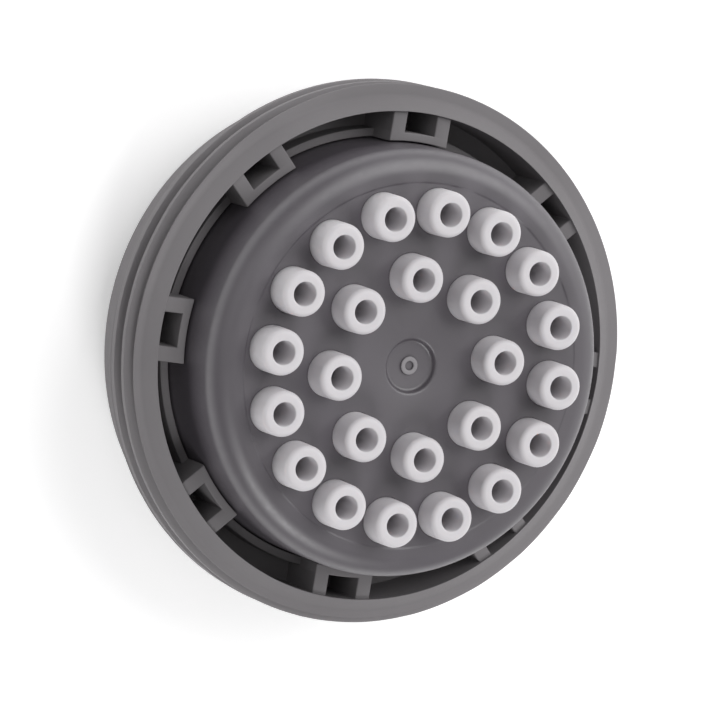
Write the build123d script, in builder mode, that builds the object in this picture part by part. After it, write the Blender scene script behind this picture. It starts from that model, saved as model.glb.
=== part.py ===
from build123d import *
import os
from math import pi, radians, tan

os.makedirs("parts", exist_ok=True)

# A tap spray aerator of the kind that screws up inside the spout with a key.
# Millimetres. Z = 0 is the washer's underside, the inlet side, and +Z points out of the spray face.

# Threaded ring: outside diameter of an M24 x 1 thread, whose turns are left as one plain land.
thread_radius = 11.95
thread_length = 1.98
runout_length = 0.5
ring_height = 5.3
ring_wall = 1.17
bevel_width = 0.62
bevel_drop = 0.52
slot_width = 0.93
sleeve_wall = 0.37
sleeve_height = 1.02
web_thickness = 1.25
pilot_wall = 0.63
rear_chamfer = 0.25

# Key eyes: pairs of ribs across the slot, closed on the inside by a cross-bar on the sleeve.
eye_count = 8
first_eye_angle = 33.75
eye_width = 2.82
eye_rib = 0.68
eye_recess = 0.18

# Spray body: a cup with a rounded rim, a flange that snaps into the ring and a spigot for the washer.
cup_wall = 1.15
face_thickness = 1.2
rim_rounding = 1.0
flank_draft = 0.5
flange_width = 0.97
flange_thickness = 0.9
snap_overlap = 0.12
spigot_wall = 0.55
spigot_recess = 0.45
face_dish_margin = 0.1
face_dish_depth = 0.03
dimple_radius = 1.2
dimple_depth = 0.28
gate_radius = 0.4
gate_bore = 0.2
gate_height = 0.1

# Nozzles of the soft mat, on two circles. The web is the least wall of the face between two outer holes.
nozzle_inset = 1.5
circle_spacing = 2.87
nozzle_web = 0.46
nozzle_base_radius = 1.04
nozzle_draft = 0.9
nozzle_bore = 0.52
nozzle_standout = 1.25
nozzle_rounding = 0.22
funnel_radius = 0.85
funnel_depth = 0.7
mat_thickness = 0.8

# Jet plate behind the mat.
plate_thickness = 1.2
plate_rim = 0.6
chamber_height = 0.75
feed_hole = 0.6

# Flow regulator.
regulator_rim = 0.6
regulator_floor = 1.0
o_ring_section = 2.4
o_ring_inner_radius = 3.0
o_ring_headroom = 0.3
post_clearance = 0.4
channel_clearance = 0.35
channel_wall = 0.7
flute_count = 8
flute_radius = 0.35
port_radius = 0.45
port_offset = 0.25

# Filter screen.
filter_rim_height = 0.7
filter_rim_wall = 0.6
filter_inset = 0.5
filter_bead = 0.12
filter_bead_height = 0.4
dome_rise = 0.65
dome_thickness = 0.5
screen_hub = 1.0
screen_bar = 0.5
screen_slot = 0.6
screen_spokes = 6
spoke_width = 0.7

# Sealing washer.
washer_thickness = 1.6
washer_recess = 0.3

# Clearances between pieces, all radial except the O-ring's seat.
sleeve_clearance = 0.03
flange_clearance = 0.05
stack_clearance = 0.05
nozzle_clearance = 0.03
washer_bore_clearance = 0.05
washer_rim_clearance = 0.1
o_ring_seat_clearance = 0.03

# Radii, worked out from the thread inwards.
slot_outer = thread_radius - ring_wall
sleeve_outer = slot_outer - slot_width
sleeve_inner = sleeve_outer - sleeve_wall
flank_radius = sleeve_inner - sleeve_clearance
cup_bore = flank_radius - cup_wall
flange_radius = flank_radius + flange_width
counterbore_radius = flange_radius + flange_clearance
pilot_radius = counterbore_radius + pilot_wall
lip_radius = flange_radius - snap_overlap
spigot_radius = cup_bore + spigot_wall
stack_radius = cup_bore - stack_clearance
outer_circle = cup_bore - nozzle_inset
inner_circle = outer_circle - circle_spacing
nozzle_hole = nozzle_base_radius + nozzle_clearance

# As many nozzle pairs as the outer circle takes, and one inner nozzle between each pair.
inner_nozzle_count = int(pi * outer_circle / (2 * nozzle_hole + nozzle_web))
outer_nozzle_count = 2 * inner_nozzle_count
nozzle_circles = [
    (outer_circle, outer_nozzle_count, 180 / outer_nozzle_count),
    (inner_circle, inner_nozzle_count, 0),
]

# Heights, worked out from the washer upwards.
flange_seat = washer_thickness
web_rear = flange_seat + flange_thickness
slot_floor = web_rear + web_thickness
sleeve_front = slot_floor + sleeve_height
ring_rear = washer_thickness - washer_recess
ring_front = ring_rear + ring_height
filter_rear = spigot_recess + filter_inset
filter_front = filter_rear + filter_rim_height
channel_roof = filter_front + o_ring_headroom + o_ring_section
regulator_front = channel_roof + regulator_floor
plate_rear = regulator_front + chamber_height
mat_rear = plate_rear + plate_thickness
face_under = mat_rear + mat_thickness
face_top = face_under + face_thickness
nozzle_tip = face_top + nozzle_standout


# Threaded ring: bevelled front, flat shoulder, thread land, pilot, and a slot with a low sleeve inside it.
thread_front = ring_front - bevel_drop
thread_rear = thread_front - thread_length
eye_front = ring_front - eye_recess
eye_block_length = 2 * (slot_width + sleeve_wall)
with BuildPart() as threaded_ring:
    with BuildSketch(Plane.XZ):
        with BuildLine():
            Polyline(
                (lip_radius, ring_rear),
                (pilot_radius - rear_chamfer, ring_rear),
                (pilot_radius, ring_rear + rear_chamfer),
                (pilot_radius, thread_rear - runout_length),
                (thread_radius, thread_rear),
                (thread_radius, thread_front),
                (slot_outer + bevel_width, thread_front),
                (slot_outer, ring_front),
                (slot_outer, slot_floor),
                (sleeve_outer, slot_floor),
                (sleeve_outer, sleeve_front),
                (sleeve_inner, sleeve_front),
                (sleeve_inner, web_rear),
                (counterbore_radius, web_rear),
                (counterbore_radius, flange_seat),
                (lip_radius, flange_seat),
                close=True,
            )
        make_face()
    revolve(axis=Axis.Z)
    # Eye blocks fill the slot almost to the front, and their pockets leave the ribs and cross-bars.
    with BuildSketch(Plane.XY.offset(slot_floor)):
        with PolarLocations(sleeve_outer, eye_count, start_angle=first_eye_angle):
            Rectangle(eye_block_length, eye_width)
        Circle(slot_outer, mode=Mode.INTERSECT)
        Circle(sleeve_inner, mode=Mode.SUBTRACT)
    extrude(amount=eye_front - slot_floor)
    with BuildSketch(Plane.XY.offset(slot_floor)):
        with PolarLocations(sleeve_outer, eye_count, start_angle=first_eye_angle):
            Rectangle(eye_block_length, eye_width - 2 * eye_rib)
        Circle(slot_outer, mode=Mode.INTERSECT)
        Circle(sleeve_outer, mode=Mode.SUBTRACT)
    extrude(amount=eye_front - slot_floor, mode=Mode.SUBTRACT)
threaded_ring.part.label = "threaded_ring"
export_step(threaded_ring.part, "parts/threaded_ring.step")


# Spray body: the cup is turned in one profile, with a snap groove for the filter inside the spigot.
bead_middle = (filter_rear + filter_front) / 2
flank_top = flank_radius - (face_top - web_rear) * tan(radians(flank_draft))
with BuildPart() as spray_body:
    with BuildSketch(Plane.XZ):
        with BuildLine():
            Polyline(
                (cup_bore, spigot_recess),
                (spigot_radius, spigot_recess),
                (spigot_radius, flange_seat),
                (flange_radius, flange_seat),
                (flange_radius, web_rear),
                (flank_radius, web_rear),
                (flank_top, face_top),
                (0, face_top),
                (0, face_under),
                (cup_bore, face_under),
                (cup_bore, bead_middle + filter_bead_height / 2),
                (cup_bore + filter_bead, bead_middle),
                (cup_bore, bead_middle - filter_bead_height / 2),
                close=True,
            )
        make_face()
    revolve(axis=Axis.Z)
    rim = spray_body.edges().filter_by(GeomType.CIRCLE).sort_by(Axis.Z)[-1]
    fillet(rim, radius=min(rim_rounding, cup_wall))
    # A shallow dish under the nozzles, and the dimple with the gate's ring-shaped mark.
    with BuildSketch(Plane.XY.offset(face_top)):
        Circle(outer_circle + nozzle_hole + face_dish_margin)
    extrude(amount=-face_dish_depth, mode=Mode.SUBTRACT)
    with BuildSketch(Plane.XY.offset(face_top)):
        Circle(dimple_radius)
    extrude(amount=-dimple_depth, mode=Mode.SUBTRACT)
    with BuildSketch(Plane.XY.offset(face_top - dimple_depth)):
        Circle(gate_radius)
        Circle(gate_bore, mode=Mode.SUBTRACT)
    extrude(amount=gate_height)
    for circle_radius, count, first_angle in nozzle_circles:
        with BuildSketch(Plane.XY.offset(face_under)):
            with PolarLocations(circle_radius, count, start_angle=first_angle):
                Circle(nozzle_hole)
        extrude(amount=face_thickness, mode=Mode.SUBTRACT)
spray_body.part.label = "spray_body"
export_step(spray_body.part, "parts/spray_body.step")


# One nozzle about the Z axis, at its own height: drafted outside, with a rounded tip.
nozzle_tip_radius = nozzle_base_radius - (nozzle_tip - face_under) * tan(radians(nozzle_draft))
with BuildPart() as nozzle:
    with BuildSketch(Plane.XZ):
        with BuildLine():
            Polyline(
                (0, face_under),
                (nozzle_base_radius, face_under),
                (nozzle_tip_radius, nozzle_tip),
                (0, nozzle_tip),
                close=True,
            )
        make_face()
    revolve(axis=Axis.Z)
    fillet(nozzle.edges().filter_by(GeomType.CIRCLE).sort_by(Axis.Z)[-1], radius=nozzle_rounding)

# The waterway of one nozzle: a funnel at the inlet side of the mat, then a straight bore.
with BuildPart() as waterway:
    with BuildSketch(Plane.XZ):
        with BuildLine():
            Polyline(
                (0, mat_rear),
                (funnel_radius, mat_rear),
                (nozzle_bore, mat_rear + funnel_depth),
                (nozzle_bore, nozzle_tip),
                (0, nozzle_tip),
                close=True,
            )
        make_face()
    revolve(axis=Axis.Z)

# Nozzle mat: one soft moulding, a disc with all the nozzles standing on it.
with BuildPart() as nozzle_mat:
    with BuildSketch(Plane.XY.offset(mat_rear)):
        Circle(stack_radius)
    extrude(amount=mat_thickness)
    for circle_radius, count, first_angle in nozzle_circles:
        with PolarLocations(circle_radius, count, start_angle=first_angle):
            add(nozzle.part)
    for circle_radius, count, first_angle in nozzle_circles:
        with PolarLocations(circle_radius, count, start_angle=first_angle):
            add(waterway.part, mode=Mode.SUBTRACT)
nozzle_mat.part.label = "nozzle_mat"
export_step(nozzle_mat.part, "parts/nozzle_mat.step")


# Jet plate: clamps the mat against the face, feeds each nozzle and stands on the regulator by its rim.
with BuildPart() as jet_plate:
    with BuildSketch(Plane.XY.offset(plate_rear)):
        Circle(stack_radius)
        for circle_radius, count, first_angle in nozzle_circles:
            with PolarLocations(circle_radius, count, start_angle=first_angle):
                Circle(feed_hole, mode=Mode.SUBTRACT)
    extrude(amount=plate_thickness)
    with BuildSketch(Plane.XY.offset(regulator_front)):
        Circle(stack_radius)
        Circle(stack_radius - plate_rim, mode=Mode.SUBTRACT)
    extrude(amount=chamber_height)
jet_plate.part.label = "jet_plate"
export_step(jet_plate.part, "parts/jet_plate.step")


# Regulator body: a cup open to the inlet, with the O-ring's channel round a fluted post.
post_radius = o_ring_inner_radius - post_clearance
channel_radius = o_ring_inner_radius + o_ring_section + channel_clearance
with BuildPart() as regulator_body:
    with BuildSketch(Plane.XY.offset(channel_roof)):
        Circle(stack_radius)
    extrude(amount=regulator_floor)
    with BuildSketch(Plane.XY.offset(filter_front)):
        Circle(stack_radius)
        Circle(stack_radius - regulator_rim, mode=Mode.SUBTRACT)
    extrude(amount=channel_roof - filter_front)
    with BuildSketch(Plane.XY.offset(channel_roof)):
        Circle(channel_radius + channel_wall)
        Circle(channel_radius, mode=Mode.SUBTRACT)
    extrude(amount=-o_ring_section)
    with BuildSketch(Plane.XY.offset(channel_roof)):
        Circle(post_radius)
        with PolarLocations(post_radius, flute_count):
            Circle(flute_radius, mode=Mode.SUBTRACT)
    extrude(amount=-o_ring_section)
    with BuildSketch(Plane.XY.offset(channel_roof)):
        with PolarLocations(post_radius + port_offset, flute_count):
            Circle(port_radius)
    extrude(amount=regulator_floor, mode=Mode.SUBTRACT)
regulator_body.part.label = "regulator_body"
export_step(regulator_body.part, "parts/regulator_body.step")


# Regulator O-ring, lying round the post.
o_ring_middle = o_ring_inner_radius + o_ring_section / 2
o_ring_level = channel_roof - o_ring_seat_clearance - o_ring_section / 2
with BuildPart() as regulator_o_ring:
    with BuildSketch(Plane.XZ):
        with Locations((o_ring_middle, o_ring_level)):
            Circle(o_ring_section / 2)
    revolve(axis=Axis.Z)
regulator_o_ring.part.label = "regulator_o_ring"
export_step(regulator_o_ring.part, "parts/regulator_o_ring.step")


# Filter screen: a rim with a snap bead, and a low dome with rows of curved slots between spokes.
screen_radius = stack_radius - filter_rim_wall
dome_apex = filter_rear - dome_rise
slot_pitch = screen_slot + screen_bar
row_count = int((screen_radius - screen_hub) / slot_pitch)
with BuildPart() as filter_screen:
    with BuildSketch(Plane.XZ):
        with BuildLine():
            lower = TangentArc((0, dome_apex), (screen_radius, filter_rear), tangent=(1, 0))
            rim_line = Polyline(
                lower @ 1,
                (stack_radius, filter_rear),
                (stack_radius, bead_middle - filter_bead_height / 2),
                (stack_radius + filter_bead, bead_middle),
                (stack_radius, bead_middle + filter_bead_height / 2),
                (stack_radius, filter_front),
                (screen_radius, filter_front),
                (screen_radius, filter_rear + dome_thickness),
            )
            upper = TangentArc((0, dome_apex + dome_thickness), rim_line @ 1, tangent=(1, 0))
            Line(upper @ 0, lower @ 0)
        make_face()
    revolve(axis=Axis.Z)
    with BuildSketch(Plane.XY.offset(dome_apex)):
        for row in reversed(range(row_count)):
            row_radius = screen_hub + row * slot_pitch
            Circle(row_radius + screen_slot)
            Circle(row_radius, mode=Mode.SUBTRACT)
        with PolarLocations(screen_radius / 2, screen_spokes):
            Rectangle(screen_radius, spoke_width, mode=Mode.SUBTRACT)
    extrude(amount=dome_rise + dome_thickness, mode=Mode.SUBTRACT)
filter_screen.part.label = "filter_screen"
export_step(filter_screen.part, "parts/filter_screen.step")


# Sealing washer: lies on the flange, round the spigot and inside the ring's snap lip.
with BuildPart() as sealing_washer:
    with BuildSketch():
        Circle(lip_radius - washer_rim_clearance)
        Circle(spigot_radius + washer_bore_clearance, mode=Mode.SUBTRACT)
    extrude(amount=washer_thickness)
sealing_washer.part.label = "sealing_washer"
export_step(sealing_washer.part, "parts/sealing_washer.step")
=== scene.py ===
import math

import bmesh
import bpy
import numpy as np
from mathutils import Matrix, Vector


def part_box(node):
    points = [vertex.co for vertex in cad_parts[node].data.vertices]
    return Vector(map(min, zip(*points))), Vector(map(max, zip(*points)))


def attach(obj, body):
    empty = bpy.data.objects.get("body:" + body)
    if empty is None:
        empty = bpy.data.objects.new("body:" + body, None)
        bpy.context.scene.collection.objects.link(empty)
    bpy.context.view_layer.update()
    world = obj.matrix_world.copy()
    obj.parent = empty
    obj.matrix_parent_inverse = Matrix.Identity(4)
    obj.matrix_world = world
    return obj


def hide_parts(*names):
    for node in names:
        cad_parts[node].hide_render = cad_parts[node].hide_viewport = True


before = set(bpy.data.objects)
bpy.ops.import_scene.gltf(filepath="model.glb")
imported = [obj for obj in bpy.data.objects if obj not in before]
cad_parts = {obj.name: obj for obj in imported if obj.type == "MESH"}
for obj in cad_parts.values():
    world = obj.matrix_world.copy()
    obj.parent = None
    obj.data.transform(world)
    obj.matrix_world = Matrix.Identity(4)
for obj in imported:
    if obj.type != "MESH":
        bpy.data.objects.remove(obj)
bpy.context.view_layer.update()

# A tap spray aerator, lying on its sealing washer with the spray face up.
# Sizes are in millimetres and angles in degrees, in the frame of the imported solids.
MM = 0.001


def box_mm(node):
    """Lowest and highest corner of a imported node, in millimetres."""
    low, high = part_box(node)
    return np.array(low) / MM, np.array(high) / MM


ring_low, ring_high = box_mm("threaded_ring")
body_low, body_high = box_mm("spray_body")
mat_low, mat_high = box_mm("nozzle_mat")
washer_low, washer_high = box_mm("sealing_washer")

# Threaded ring, from its outside inwards.
CREST = ring_high[0]
RING_FRONT = ring_high[2]
RING_REAR = ring_low[2]
RING_WALL = 1.17
BEVEL_WIDTH = 0.62
BEVEL_DROP = 0.52
SLOT_WIDTH = 0.93
SLOT_DEPTH = 2.85
SLEEVE_WALL = 0.37
SLEEVE_DROP = 1.83
WEB_THICKNESS = 1.25
LIP_LAP = 0.12
FLANGE_THICKNESS = 0.9
FLANGE_PLAY = 0.05
PILOT_WALL = 0.63
REAR_CHAMFER = 0.25
MOULDED_EDGE = 0.06
BEVEL_FOOT = 0.12

# The thread's turns. The first crest is measured down from the ring's front, at an angle from +X.
THREAD_LENGTH = 1.98
THREAD_PITCH = 1.0
THREAD_DEPTH = 0.5
FLANK_STEEPNESS = 0.75
FIRST_CREST_DROP = 1.15
FIRST_CREST_ANGLE = 179.5
COLLAR_WIDTH = 0.3
RUNOUT = 0.5
THREAD_ROWS = 76

# Key eyes.
EYE_COUNT = 8
FIRST_EYE_ANGLE = 33.75
EYE_WIDTH = 2.82
EYE_RIB = 0.68
EYE_RECESS = 0.18
EYE_SURROUND = 0.3
SURROUND_SHARES = (0, 0.15, 0.5, 1)
# Columns near an eye's middle run parallel to it. They fade to radial ones, which begin at the end angle.
STRAIGHT_END = 14.0
STRAIGHT_FADE = 5.0

# Spray body.
SLEEVE_PLAY = 0.03
CUP_WALL = 1.15
RIM_ROUNDING = 1.0
FLANK_DRAFT = 0.5
FACE_THICKNESS = 1.2
DISH_DEPTH = 0.03
DISH_MARGIN = 0.1
DISH_SLOPE = 0.06
DIMPLE_RADIUS = 1.2
DIMPLE_DEPTH = 0.28
DIMPLE_SLOPE = 0.1
GATE_RADIUS = 0.4
GATE_BORE = 0.2
GATE_HEIGHT = 0.1
SPIGOT_WALL = 0.55

# Nozzles of the soft mat.
OUTER_COUNT = 16
INNER_COUNT = 8
NOZZLE_INSET = 1.5
CIRCLE_SPACING = 2.87
NOZZLE_BASE = 1.04
NOZZLE_PLAY = 0.03
NOZZLE_GRIP = 0.006
NOZZLE_DRAFT = 0.9
NOZZLE_ROUNDING = 0.22
NOZZLE_BORE = 0.52
FUNNEL_RADIUS = 0.85
FUNNEL_DEPTH = 0.7

# Radii and heights that follow from these.
SLOT_OUTER = CREST - RING_WALL
SLEEVE_OUTER = SLOT_OUTER - SLOT_WIDTH
SLEEVE_INNER = SLEEVE_OUTER - SLEEVE_WALL
FLANK = SLEEVE_INNER - SLEEVE_PLAY
CUP_BORE = FLANK - CUP_WALL
FLANGE = body_high[0]
COUNTERBORE = FLANGE + FLANGE_PLAY
PILOT = COUNTERBORE + PILOT_WALL
LIP = FLANGE - LIP_LAP
SHOULDER = RING_FRONT - BEVEL_DROP
SHOULDER_INNER = SLOT_OUTER + BEVEL_WIDTH
LAND_REAR = SHOULDER - THREAD_LENGTH
EYE_FRONT = RING_FRONT - EYE_RECESS
SLOT_FLOOR = RING_FRONT - SLOT_DEPTH
SLEEVE_FRONT = RING_FRONT - SLEEVE_DROP
WEB_REAR = SLOT_FLOOR - WEB_THICKNESS
FLANGE_SEAT = WEB_REAR - FLANGE_THICKNESS
FACE_TOP = body_high[2]
DISH_FLOOR = FACE_TOP - DISH_DEPTH
FACE_UNDER = FACE_TOP - FACE_THICKNESS
DIMPLE_FLOOR = FACE_TOP - DIMPLE_DEPTH
SPIGOT = CUP_BORE + SPIGOT_WALL
NOZZLE_TIP = mat_high[2]
MAT_REAR = mat_low[2]
OUTER_CIRCLE = CUP_BORE - NOZZLE_INSET
INNER_CIRCLE = OUTER_CIRCLE - CIRCLE_SPACING
NOZZLE_TAPER = math.tan(math.radians(NOZZLE_DRAFT))
DISH_RADIUS = OUTER_CIRCLE + NOZZLE_BASE + NOZZLE_PLAY + DISH_MARGIN

# Plate cells: each nozzle has a sector of the face, and the sectors meet on these circles.
CELL_MARGIN = 0.4
CELL_EDGE = DISH_RADIUS - DISH_MARGIN / 2
CELL_SEAM = (OUTER_CIRCLE + INNER_CIRCLE) / 2
CELL_CORE = INNER_CIRCLE - NOZZLE_BASE - CELL_MARGIN
ARC_STEPS = 16
SIDE_STEPS = 12
EDGE_COLUMNS = OUTER_COUNT * ARC_STEPS
CORE_COLUMNS = INNER_COUNT * ARC_STEPS

# Points on curves: a rounded corner, a rib's edge, an eye's pocket, the ring between eyes, the rim, a lip.
CORNER_STEPS = 5
RIB_EDGE_STEPS = 4
POCKET_STEPS = 5
BETWEEN_STEPS = 22
RIM_STEPS = 18
LIP_STEPS = 8
# A rounded corner takes at most this share of a side. A side of no length counts as tiny.
CORNER_SHARE = 0.45
TINY = 1e-9

# Meshes: corners nearer than the weld are one, and edges sharper than the angle stay sharp.
WELD = 0.0002
SHARP_ANGLE = 38.0


def grid(points, closed_u=False, closed_v=False):
    """Corners and quads of a surface given as points over two parameters, u then v, after any number
    of copies; a closed parameter joins its last row to its first."""
    nu, nv = points.shape[-3:-1]
    u = np.arange(nu if closed_u else nu - 1)[:, None]
    v = np.arange(nv if closed_v else nv - 1)
    u_next, v_next = (u + 1) % nu, (v + 1) % nv
    quads = np.stack([u * nv + v, u_next * nv + v, u_next * nv + v_next, u * nv + v_next], -1).reshape(-1, 4)
    corners = points.reshape(-1, nu * nv, 3)
    starts = np.arange(len(corners))[:, None, None] * (nu * nv)
    return corners.reshape(-1, 3), (quads + starts).reshape(-1, 4)


def rounded(corners, reach, closed=False):
    """A polyline, or an array of them, with each corner turned into a short parabola: it leaves the
    line by reach before the corner and joins it by reach after, or less where a side is short."""
    corners = np.asarray(corners, float)
    before = corners - np.roll(corners, 1, -2)
    after = np.roll(corners, -1, -2) - corners
    length_before = np.linalg.norm(before, axis=-1, keepdims=True)
    length_after = np.linalg.norm(after, axis=-1, keepdims=True)
    reach = np.broadcast_to(np.asarray(reach, float), corners.shape[:-1])[..., None]
    reach_before = np.minimum(reach, CORNER_SHARE * length_before)
    reach_after = np.minimum(reach, CORNER_SHARE * length_after)
    from_point = corners - before / np.maximum(length_before, TINY) * reach_before
    to_point = corners + after / np.maximum(length_after, TINY) * reach_after
    t = np.linspace(0, 1, CORNER_STEPS)[:, None]
    bends = (
        (1 - t) ** 2 * from_point[..., None, :]
        + 2 * t * (1 - t) * corners[..., None, :]
        + t**2 * to_point[..., None, :]
    )
    if not closed:
        bends[..., 0, :, :] = corners[..., 0, None, :]
        bends[..., -1, :, :] = corners[..., -1, None, :]
    return bends.reshape(*corners.shape[:-2], -1, 2)


def lathe(profile, columns, closed=False):
    """A profile of (radius, height) points carried round the Z axis in equal steps."""
    turn = np.linspace(0, 2 * np.pi, columns, endpoint=False)[:, None]
    radius, height = profile[:, 0], profile[:, 1]
    points = np.stack(
        [radius * np.cos(turn), radius * np.sin(turn), np.broadcast_to(height, (columns, len(profile)))], -1
    )
    return grid(points, closed_u=True, closed_v=closed)


def arc(centre, radius, start, end, steps):
    """Points on an arc of a profile, from the start angle to the end angle, in degrees."""
    angle = np.radians(np.linspace(start, end, steps))
    return np.stack([centre[0] + radius * np.cos(angle), centre[1] + radius * np.sin(angle)], -1)


def hex_colour(code):
    """An sRGB hex colour as linear red, green, blue and alpha."""
    srgb = np.array([int(code[i:i + 2], 16) for i in (1, 3, 5)]) / 255
    linear = np.where(srgb <= 0.04045, srgb / 12.92, ((srgb + 0.055) / 1.055) ** 2.4)
    return (*linear, 1.0)


def add_node(tree, kind, inputs=None, links=None):
    """Adds a node, sets its input values, and links its inputs to other nodes' outputs."""
    node = tree.nodes.new(kind)
    for name, value in (inputs or {}).items():
        node.inputs[name].default_value = value
    for name, (source, output) in (links or {}).items():
        tree.links.new(source.outputs[output], node.inputs[name])
    return node


# Noise mostly stays between these two values.
NOISE_LOW, NOISE_HIGH = 0.3, 0.7


def moulded(name, dark, light, roughness, spread, grain_mm, bump_mm, cloud_mm=6.0, shader=None):
    """A moulded finish on Object coordinates: colour clouds of the melt's flow between two close
    tones, a fine tool grain that changes the roughness by spread, and the same grain as bump."""
    material = bpy.data.materials.new(name)
    material.use_nodes = True
    tree = material.node_tree
    tree.nodes.clear()
    place = add_node(tree, "ShaderNodeTexCoord")
    cloud = add_node(
        tree,
        "ShaderNodeTexNoise",
        inputs={"Scale": 1 / (cloud_mm * MM), "Detail": 3.0, "Roughness": 0.55},
        links={"Vector": (place, "Object")},
    )
    grain = add_node(
        tree,
        "ShaderNodeTexNoise",
        inputs={"Scale": 1 / (grain_mm * MM), "Detail": 2.0, "Roughness": 0.6},
        links={"Vector": (place, "Object")},
    )
    tone = add_node(tree, "ShaderNodeValToRGB", links={"Fac": (cloud, "Fac")})
    tone.color_ramp.elements[0].position = NOISE_LOW
    tone.color_ramp.elements[1].position = NOISE_HIGH
    tone.color_ramp.elements[0].color = hex_colour(dark)
    tone.color_ramp.elements[1].color = hex_colour(light)
    gloss = add_node(
        tree,
        "ShaderNodeMapRange",
        inputs={
            "From Min": NOISE_LOW,
            "From Max": NOISE_HIGH,
            "To Min": roughness - spread,
            "To Max": roughness + spread,
        },
        links={"Value": (grain, "Fac")},
    )
    relief = add_node(
        tree,
        "ShaderNodeBump",
        inputs={"Strength": 1.0, "Distance": bump_mm * MM},
        links={"Height": (grain, "Fac")},
    )
    surface = add_node(
        tree,
        "ShaderNodeBsdfPrincipled",
        inputs=shader,
        links={
            "Base Color": (tone, "Color"),
            "Roughness": (gloss, "Result"),
            "Normal": (relief, "Normal"),
        },
    )
    add_node(tree, "ShaderNodeOutputMaterial", links={"Surface": (surface, "BSDF")})
    return material


# Acetal moulded in a spark-eroded tool: mid grey, even and matt, with a faint grain and soft highlights.
grey_acetal = moulded(
    "grey_acetal_spark_eroded_mould", "#7e7b7d", "#848183",
    roughness=0.6, spread=0.05, grain_mm=0.16, bump_mm=0.003,
    shader={"IOR": 1.48, "Specular IOR Level": 0.25},
)
# Acetal moulded in a fine-stoned tool: darker grey, satin, so the rounded rim carries a broad highlight.
# Its reflection is set stronger than plain acetal's, as the photograph's rim shows it.
dark_acetal = moulded(
    "dark_acetal_stoned_mould", "#4c474d", "#514c53",
    roughness=0.46, spread=0.03, grain_mm=0.3, bump_mm=0.001,
    shader={"IOR": 1.6, "Specular IOR Level": 1.0},
)
# The same acetal where the gate was torn off: stress has turned it paler.
torn_acetal = moulded(
    "dark_acetal_torn_gate", "#8c898c", "#959295",
    roughness=0.55, spread=0.05, grain_mm=0.1, bump_mm=0.002,
    shader={"IOR": 1.48},
)
# Silicone rubber from a blasted mould: off-white, soft matt, and light passes a little way into it.
white_silicone = moulded(
    "white_silicone_blasted_mould", "#d5d2d5", "#dad7da",
    roughness=0.5, spread=0.05, grain_mm=0.12, bump_mm=0.003,
    shader={
        "IOR": 1.41,
        "Subsurface Weight": 0.25,
        "Subsurface Radius": (1.0, 0.9, 0.85),
        "Subsurface Scale": 0.35 * MM,
    },
)
# Natural acetal, unpigmented: milky and slightly see-through, so its edges look soft.
natural_acetal = moulded(
    "natural_acetal_mould", "#dcdad2", "#e4e2da",
    roughness=0.45, spread=0.04, grain_mm=0.2, bump_mm=0.003,
    shader={
        "IOR": 1.48,
        "Subsurface Weight": 0.2,
        "Subsurface Radius": (1.0, 0.95, 0.8),
        "Subsurface Scale": 0.5 * MM,
    },
)
# Polypropylene of the strainer: pale grey, a little waxy.
pale_polypropylene = moulded(
    "pale_polypropylene_mould", "#c9c8c4", "#d1d0cc",
    roughness=0.42, spread=0.05, grain_mm=0.2, bump_mm=0.003,
    shader={"IOR": 1.49},
)
# Nitrile rubber, compression moulded: black and dull, with a slight grey bloom.
black_nitrile = moulded(
    "black_nitrile_compression_mould", "#1c1c1d", "#29292a",
    roughness=0.65, spread=0.08, grain_mm=0.25, bump_mm=0.005,
    shader={"IOR": 1.52},
)


def add_object(name, data):
    """A new object with the given data, linked to the scene."""
    made = bpy.data.objects.new(name, data)
    bpy.context.scene.collection.objects.link(made)
    return made


def piece(name, node, material, shells):
    """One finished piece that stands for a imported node: its shells are joined, welded and shaded smooth."""
    corners = np.concatenate([points for points, _ in shells]) * MM
    starts = np.cumsum([0] + [len(points) for points, _ in shells[:-1]])
    quads = np.concatenate([faces + start for (_, faces), start in zip(shells, starts)])
    mesh = bpy.data.meshes.new(name)
    mesh.vertices.add(len(corners))
    mesh.vertices.foreach_set("co", corners.astype(np.float32).ravel())
    mesh.loops.add(quads.size)
    mesh.loops.foreach_set("vertex_index", quads.astype(np.int32).ravel())
    mesh.polygons.add(len(quads))
    mesh.polygons.foreach_set("loop_start", np.arange(0, quads.size, 4, dtype=np.int32))
    mesh.update(calc_edges=True)
    joined = bmesh.new()
    joined.from_mesh(mesh)
    bmesh.ops.remove_doubles(joined, verts=joined.verts, dist=WELD * MM)
    bmesh.ops.dissolve_degenerate(joined, edges=joined.edges, dist=WELD * MM)
    bmesh.ops.recalc_face_normals(joined, faces=joined.faces)
    joined.to_mesh(mesh)
    joined.free()
    mesh.shade_smooth()
    mesh.set_sharp_from_angle(angle=math.radians(SHARP_ANGLE))
    mesh.materials.append(material)
    made = add_object(name, mesh)
    smoothing = made.modifiers.new("flat_faces_first", "WEIGHTED_NORMAL")
    smoothing.keep_sharp = True
    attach(made, "root")
    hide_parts(node)


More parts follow.
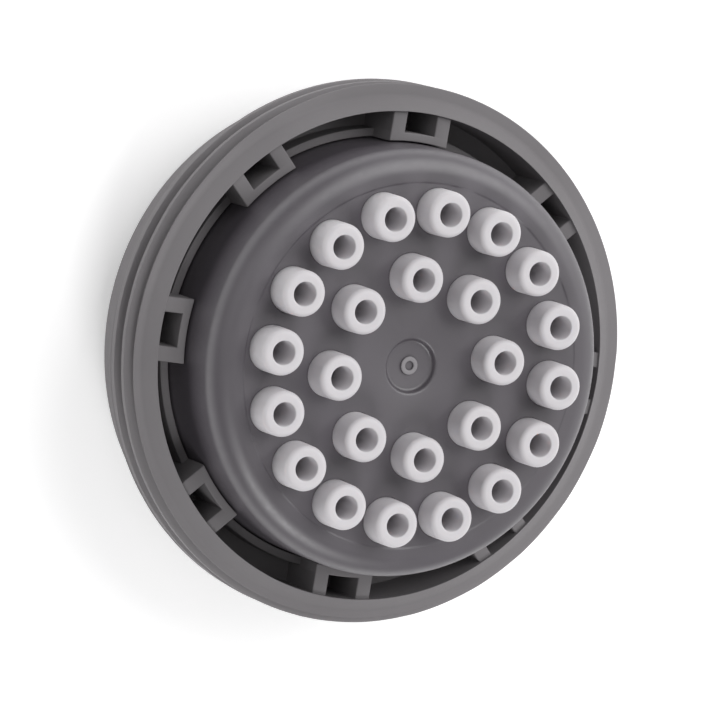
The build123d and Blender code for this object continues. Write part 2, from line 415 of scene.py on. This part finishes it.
def eye_stations():
    """Columns of one eye's share of the ring, from one side to the other: the angle from the eye's
    middle at the sleeve, the rib's height and the cross-bar's height, both as shares of full height,
    and how far each lies below it at its rounded edges."""
    soft = MOULDED_EDGE * (1 - np.cos(np.linspace(0, np.pi / 2, RIB_EDGE_STEPS)))
    half, hole = EYE_WIDTH / 2, EYE_WIDTH / 2 - EYE_RIB
    pocket = np.linspace(0, hole, POCKET_STEPS)
    rib = np.concatenate([hole + soft, half - soft[::-1]])
    beside = half + EYE_SURROUND * np.array(SURROUND_SHARES)
    offset = np.concatenate([pocket, rib, beside])
    rib_up = np.concatenate([0 * pocket, 0 * rib + 1, 0 * beside])
    bar_up = np.concatenate([0 * pocket + 1, 0 * rib + 1, 0 * beside])
    from_half = np.clip(half - offset, 0, MOULDED_EDGE)
    from_edge = np.clip(np.minimum(half - offset, offset - hole), 0, MOULDED_EDGE)
    bar_dip = MOULDED_EDGE - np.sqrt(MOULDED_EDGE**2 - (MOULDED_EDGE - from_half) ** 2)
    rib_dip = MOULDED_EDGE - np.sqrt(MOULDED_EDGE**2 - (MOULDED_EDGE - from_edge) ** 2)
    angle = np.arcsin(offset / SLEEVE_OUTER)
    between = np.linspace(angle[-1], np.pi / EYE_COUNT, BETWEEN_STEPS)[1:]
    angle = np.concatenate([angle, between])
    rib_up, bar_up, rib_dip, bar_dip = (
        np.concatenate([values, 0 * between])
        for values in (rib_up, bar_up, rib_dip * rib_up, bar_dip * bar_up)
    )
    mirror = slice(len(angle) - 2, 0, -1)
    return (
        np.concatenate([-angle[mirror], angle]),
        *(np.concatenate([values[mirror], values]) for values in (rib_up, bar_up, rib_dip, bar_dip)),
    )


def thread_radius(height, turn):
    """Radius of the ring's outside below the shoulder: a wave of one pitch that climbs one pitch in each
    turn, steepened and cut flat at its crests and roots. A collar keeps it out at the shoulder, and the
    run-out ends it at the pilot."""
    climb = (np.degrees(turn) - FIRST_CREST_ANGLE) / 360
    wave = np.cos(2 * np.pi * ((height - RING_FRONT + FIRST_CREST_DROP) / THREAD_PITCH - climb))
    fullness = np.clip(0.5 + FLANK_STEEPNESS * wave, 0, 1)
    fade = np.clip((height - LAND_REAR) / RUNOUT, 0, 1)
    turns = CREST - THREAD_DEPTH * fade * (1 - fullness)
    collar = SHOULDER_INNER + COLLAR_WIDTH - (SHOULDER - height)
    runout = CREST - (LAND_REAR - height) * (CREST - PILOT) / RUNOUT
    return np.clip(np.minimum(np.maximum(turns, collar), runout), PILOT, CREST)


def threaded_ring():
    """The ring as columns round the axis. Each column is a closed profile, in which the heights of the
    ribs and cross-bars change from column to column, and the thread is a wave on the outside."""
    angle, rib_up, bar_up, rib_dip, bar_dip = eye_stations()
    eyes = np.radians(FIRST_EYE_ANGLE) + np.arange(EYE_COUNT) * 2 * np.pi / EYE_COUNT
    turn = (eyes[:, None] + angle).ravel()
    angle, rib_up, bar_up, rib_dip, bar_dip = (
        np.tile(values, EYE_COUNT) for values in (angle, rib_up, bar_up, rib_dip, bar_dip)
    )
    columns = len(turn)
    floor = SLOT_FLOOR + rib_up * (EYE_FRONT - SLOT_FLOOR) - rib_dip
    bar = SLEEVE_FRONT + bar_up * (EYE_FRONT - SLEEVE_FRONT) - bar_dip
    one = np.ones(columns)

    def path(*stops):
        return np.stack([np.stack([radius * one, height * one], -1) for radius, height in stops], 1)

    rear = path(
        (LIP, RING_REAR),
        (PILOT - REAR_CHAMFER, RING_REAR),
        (PILOT, RING_REAR + REAR_CHAMFER),
        (PILOT, WEB_REAR),
    )
    top = thread_radius(SHOULDER, turn)
    front = path(
        (top, SHOULDER - MOULDED_EDGE),
        (top, SHOULDER),
        (SHOULDER_INNER, SHOULDER),
        (SLOT_OUTER, RING_FRONT),
        (SLOT_OUTER, floor),
        (SLEEVE_OUTER, floor),
        (SLEEVE_OUTER, bar),
        (SLEEVE_INNER, bar),
        (SLEEVE_INNER, WEB_REAR),
        (COUNTERBORE, WEB_REAR),
        (COUNTERBORE, FLANGE_SEAT),
        (LIP, FLANGE_SEAT),
    )
    reach = np.full(front.shape[1], MOULDED_EDGE)
    reach[2] = BEVEL_FOOT  # where the bevel meets the shoulder
    thread_heights = np.linspace(WEB_REAR + RUNOUT, SHOULDER - MOULDED_EDGE, THREAD_ROWS)
    outside = np.stack(np.broadcast_arrays(thread_radius(thread_heights, turn[:, None]), thread_heights), -1)
    profile = np.concatenate([rounded(rear, MOULDED_EDGE), outside, rounded(front, reach)], 1)
    radius, height = profile[..., 0], profile[..., 1]
    straight = np.arcsin(np.clip(SLEEVE_OUTER * np.sin(angle)[:, None] / radius, -1, 1)) - angle[:, None]
    near = np.clip((np.radians(STRAIGHT_END) - np.abs(angle)) / np.radians(STRAIGHT_FADE), 0, 1)
    around = turn[:, None] + straight * (near * near * (3 - 2 * near))[:, None]
    points = np.stack([radius * np.cos(around), radius * np.sin(around), height], -1)
    piece("threaded_ring_moulding", "threaded_ring", grey_acetal, [grid(points, True, True)])


def cell_outline(inner, outer, count, inner_steps, outer_steps):
    """Outline of one nozzle's sector of the plate, once round: the outer arc, a side, the inner arc
    and the other side, with the sector's middle on the X axis."""
    half = np.pi / count
    out_turn = np.linspace(-half, half, outer_steps, endpoint=False)
    in_turn = np.linspace(half, -half, inner_steps, endpoint=False)
    side = np.linspace(outer, inner, SIDE_STEPS, endpoint=False)
    back = np.linspace(inner, outer, SIDE_STEPS, endpoint=False)
    radius = np.concatenate([0 * out_turn + outer, side, 0 * in_turn + inner, back])
    turn = np.concatenate([out_turn, 0 * side + half, in_turn, 0 * back - half])
    return np.stack([radius * np.cos(turn), radius * np.sin(turn)], -1)


def nozzle_cells(profile):
    """The plate's sectors round all nozzles. In each, rows of the surface run from the sector's outline
    in to the nozzle's axis side as circles of the profile's radii and heights, and back to the outline."""
    shells = []
    for circle, count, first, bounds, steps in (
        (OUTER_CIRCLE, OUTER_COUNT, np.pi / OUTER_COUNT, (CELL_SEAM, CELL_EDGE), (ARC_STEPS, ARC_STEPS)),
        (INNER_CIRCLE, INNER_COUNT, 0.0, (CELL_CORE, CELL_SEAM), (ARC_STEPS, 2 * ARC_STEPS)),
    ):
        outline = cell_outline(*bounds, count, *steps)
        outward = outline - (circle, 0)
        outward = outward / np.linalg.norm(outward, axis=1, keepdims=True)
        circles = (circle, 0) + profile[:, None, None, 0] * outward
        flat = np.concatenate([outline[None], circles.reshape(len(profile), -1, 2), outline[None]])
        height = np.concatenate([profile[:1, 1], profile[:, 1], profile[-1:, 1]])
        turn = (first + np.arange(count) * 2 * np.pi / count)[:, None, None]
        x = flat[..., 0] * np.cos(turn) - flat[..., 1] * np.sin(turn)
        y = flat[..., 0] * np.sin(turn) + flat[..., 1] * np.cos(turn)
        z = np.broadcast_to(height[:, None], x.shape)
        shells.append(grid(np.stack([x, y, z], -1), closed_v=True))
    return shells


def nozzle_outside(height):
    """Radius of a nozzle's drafted outside at a height."""
    return NOZZLE_BASE - (height - FACE_UNDER) * NOZZLE_TAPER


def spray_body():
    """The cup as a turned outside that runs from the dish over the rim, the flange and the bore to the
    face's underside, with the perforated face as cells and the dimple turned in the middle."""
    flank_top = FLANK - (FACE_TOP - WEB_REAR) * math.tan(math.radians(FLANK_DRAFT))
    rim = arc((flank_top - RIM_ROUNDING, FACE_TOP - RIM_ROUNDING), RIM_ROUNDING, 90, 0, RIM_STEPS)
    face_edge = rounded(
        [(CELL_EDGE, DISH_FLOOR), (DISH_RADIUS, DISH_FLOOR), (DISH_RADIUS + DISH_SLOPE, FACE_TOP), rim[0]],
        DISH_SLOPE / 2,
    )
    below = rounded(
        [
            rim[-1],
            (FLANK, WEB_REAR),
            (FLANGE, WEB_REAR),
            (FLANGE, FLANGE_SEAT),
            (SPIGOT, FLANGE_SEAT),
            (SPIGOT, body_low[2]),
            (CUP_BORE, body_low[2]),
            (CUP_BORE, FACE_UNDER),
            (CELL_EDGE, FACE_UNDER),
        ],
        MOULDED_EDGE,
    )
    outside = lathe(np.concatenate([face_edge, rim, below]), EDGE_COLUMNS)
    middle = rounded(
        [
            (CELL_CORE, DISH_FLOOR),
            (DIMPLE_RADIUS, DISH_FLOOR),
            (DIMPLE_RADIUS - DIMPLE_SLOPE, DIMPLE_FLOOR),
            (0, DIMPLE_FLOOR),
        ],
        DIMPLE_SLOPE,
    )
    under = np.array([(0, FACE_UNDER), (CELL_CORE, FACE_UNDER)])
    hole_top = nozzle_outside(DISH_FLOOR) + NOZZLE_GRIP
    hole = rounded(
        [
            (hole_top + MOULDED_EDGE, DISH_FLOOR),
            (hole_top, DISH_FLOOR),
            (nozzle_outside(FACE_UNDER) + NOZZLE_GRIP, FACE_UNDER),
        ],
        MOULDED_EDGE / 2,
    )
    shells = [outside, lathe(middle, CORE_COLUMNS), lathe(under, CORE_COLUMNS), *nozzle_cells(hole)]
    piece("spray_body_moulding", "spray_body", dark_acetal, shells)


def gate_mark():
    """What the torn gate left on the dimple's floor: a low ring, a closed section carried round the axis."""
    section = [
        (GATE_RADIUS, DIMPLE_FLOOR),
        (GATE_RADIUS, DIMPLE_FLOOR + GATE_HEIGHT),
        (GATE_BORE, DIMPLE_FLOOR + GATE_HEIGHT),
        (GATE_BORE, DIMPLE_FLOOR),
    ]
    ring = lathe(rounded(section, GATE_HEIGHT, closed=True), CORE_COLUMNS, closed=True)
    piece("gate_mark", "spray_body", torn_acetal, [ring])


def nozzle_mat():
    """The soft mat: a disc whose cells rise into drafted nozzles with rounded lips, go down the bores
    and widen into the funnels on the inlet side."""
    lip_centre = (nozzle_outside(NOZZLE_TIP) - NOZZLE_ROUNDING, NOZZLE_TIP - NOZZLE_ROUNDING)
    lip = arc(lip_centre, NOZZLE_ROUNDING, 0, 90, LIP_STEPS)
    bore = rounded(
        [
            lip[-1],
            (NOZZLE_BORE, NOZZLE_TIP),
            (NOZZLE_BORE, MAT_REAR + FUNNEL_DEPTH),
            (FUNNEL_RADIUS, MAT_REAR),
        ],
        MOULDED_EDGE,
    )
    profile = np.concatenate([[(NOZZLE_BASE, FACE_UNDER)], lip, bore])
    edge = rounded(
        [(CELL_EDGE, FACE_UNDER), (mat_high[0], FACE_UNDER), (mat_high[0], MAT_REAR), (CELL_EDGE, MAT_REAR)],
        MOULDED_EDGE,
    )
    shells = [
        lathe(edge, EDGE_COLUMNS),
        lathe(np.array([(CELL_CORE, FACE_UNDER), (0, FACE_UNDER)]), CORE_COLUMNS),
        lathe(np.array([(0, MAT_REAR), (CELL_CORE, MAT_REAR)]), CORE_COLUMNS),
        *nozzle_cells(profile),
    ]
    piece("nozzle_mat_moulding", "nozzle_mat", white_silicone, shells)


def sealing_washer():
    """The flat washer: a closed section with soft edges carried round the axis."""
    inner = SPIGOT + FLANGE_PLAY
    section = rounded(
        [
            (inner, washer_low[2]),
            (washer_high[0], washer_low[2]),
            (washer_high[0], washer_high[2]),
            (inner, washer_high[2]),
        ],
        2 * MOULDED_EDGE,
        closed=True,
    )
    shells = [lathe(section, EDGE_COLUMNS, closed=True)]
    piece("sealing_washer_moulding", "sealing_washer", black_nitrile, shells)


threaded_ring()
spray_body()
gate_mark()
nozzle_mat()
sealing_washer()

for node, material in (
    ("jet_plate", natural_acetal),
    ("regulator_body", natural_acetal),
    ("regulator_o_ring", black_nitrile),
    ("filter_screen", pale_polypropylene),
):
    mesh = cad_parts[node].data
    mesh.materials.clear()
    mesh.materials.append(material)


# Camera: spun a little about the object's axis, turned about the picture's upright and then tipped.
VIEW_SPIN = -0.44
VIEW_TURN = 26.27
VIEW_TIP = 9.71
VIEW_DISTANCE = 228.3
LENS = 262.9
SENSOR = 36.0
CLIP_NEAR = 10.0
CLIP_FAR = 5000.0
VIEW_SHIFT_RIGHT = 2.628
VIEW_SHIFT_UP = -0.314
# Studio: the floor, how much it glows, the sky's strength, and each softbox's direction, side and power.
FLOOR_RADIUS = 1500.0
FLOOR_COLUMNS = 96
TABLE_GLOW = 0.4
SKY_STRENGTH = 0.2
SOFTBOX_DISTANCE = 500.0
SOFTBOXES = {
    "main_softbox": ((0.45, 0.52, 0.72), 480, 1.7),
    "low_softbox": ((-0.15, -0.7, 0.7), 200, 0.9),
    "right_softbox": ((0.96, -0.1, 0.25), 700, 1.1),
    "left_softbox": ((-0.6, 0.35, 0.72), 400, 0.3),
}


def set_axes(made, right, up, back, place):
    """Turns an object to three axes and puts it at a place in millimetres."""
    axes = np.eye(4)
    axes[:3, 0], axes[:3, 1], axes[:3, 2], axes[:3, 3] = right, up, back, place * MM
    made.matrix_world = Matrix(axes.tolist())


def camera():
    """The photograph's camera: its axes are the object's, turned and tipped, and it looks at the nozzle
    tips' plane from the view distance, moved sideways by the two shifts."""
    spin, turn, tip = np.radians((VIEW_SPIN, VIEW_TURN, VIEW_TIP))
    about_axis = np.array([(np.cos(spin), -np.sin(spin), 0), (np.sin(spin), np.cos(spin), 0), (0, 0, 1)])
    right = about_axis @ (np.cos(turn), 0, np.sin(turn))
    up = about_axis @ (np.sin(turn) * np.sin(tip), np.cos(tip), -np.cos(turn) * np.sin(tip))
    back = np.cross(right, up)
    place = (
        np.array([0, 0, NOZZLE_TIP])
        + back * VIEW_DISTANCE
        - right * VIEW_SHIFT_RIGHT
        - up * VIEW_SHIFT_UP
    )
    data = bpy.data.cameras.new("photo_camera")
    data.lens, data.sensor_width = LENS, SENSOR
    data.clip_start, data.clip_end = CLIP_NEAR * MM, CLIP_FAR * MM
    made = add_object("photo_camera", data)
    set_axes(made, right, up, back, place)
    bpy.context.scene.camera = made


def softbox(name, toward, side, power):
    """A square soft light in the given direction, facing the object."""
    data = bpy.data.lights.new(name, "AREA")
    data.shape = "SQUARE"
    data.size = side * MM
    data.energy = power
    made = add_object(name, data)
    back = np.array(toward, float) / np.linalg.norm(toward)
    right = np.cross((0, 0, 1), back)
    right = right / np.linalg.norm(right)
    set_axes(made, right, np.cross(back, right), back, back * SOFTBOX_DISTANCE)


def studio():
    """A pale floor under an even pale sky, and the softboxes."""
    turn = np.linspace(0, 2 * np.pi, FLOOR_COLUMNS, endpoint=False)
    rim = np.stack([np.cos(turn), np.sin(turn), 0 * turn], -1) * FLOOR_RADIUS
    points, quads = grid(np.stack([0 * rim, rim], 1), closed_u=True)
    mesh = bpy.data.meshes.new("floor")
    mesh.from_pydata(points * MM, [], quads.tolist())
    joined = bmesh.new()
    joined.from_mesh(mesh)
    bmesh.ops.remove_doubles(joined, verts=joined.verts, dist=WELD * MM)
    joined.to_mesh(mesh)
    joined.free()
    floor = add_object("floor", mesh)
    # Opal acrylic lit from below: plain white, matt, and bright enough to wash out most of the shadow.
    mesh.materials.append(
        moulded(
            "opal_acrylic_light_table", "#f6f6f6", "#f8f8f8",
            roughness=0.8, spread=0.02, grain_mm=1.0, bump_mm=0.001, cloud_mm=60.0,
            shader={"Emission Color": hex_colour("#ffffff"), "Emission Strength": TABLE_GLOW},
        )
    )
    world = bpy.data.worlds.new("pale_studio")
    world.use_nodes = True
    world.node_tree.nodes["Background"].inputs["Color"].default_value = hex_colour("#fdfdfe")
    world.node_tree.nodes["Background"].inputs["Strength"].default_value = SKY_STRENGTH
    bpy.context.scene.world = world
    for name, settings in SOFTBOXES.items():
        softbox(name, *settings)
    bpy.context.scene.view_settings.view_transform = "Standard"


camera()
studio()
